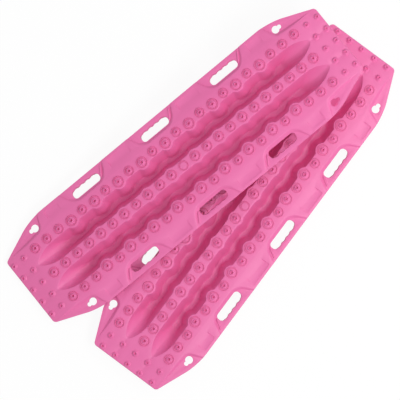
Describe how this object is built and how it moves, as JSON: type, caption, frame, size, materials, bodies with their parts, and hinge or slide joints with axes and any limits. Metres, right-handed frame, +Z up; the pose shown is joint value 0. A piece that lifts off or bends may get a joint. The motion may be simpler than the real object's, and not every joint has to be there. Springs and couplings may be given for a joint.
{
  "type": "tire traction mats",
  "caption": "Pair of moulded plastic traction boards, one leaning across the other, with studded tops, scalloped keel channels, hand slots and keyholes.",
  "frame": {"origin": "on the ground under the middle of the pair's bounding box", "axes": "+X along the lower board, +Y from the lower board towards the side where the upper board reaches the ground, +Z up"},
  "size_m": [1.171, 0.6365, 0.1946],
  "materials": {
    "pink_plastic": "satin, finely textured moulded nylon, one colour all through"
  },
  "bodies": {
    "lower_board": {"lower_board": "pink_plastic"},
    "upper_board": {"upper_board": "pink_plastic"}
  },
  "joints": [
    {"name": "lift_upper_board", "type": "slide", "parent": "lower_board", "child": "upper_board", "axis": [0, 0, 1], "range_m": [0, 0.25]}
  ]
}
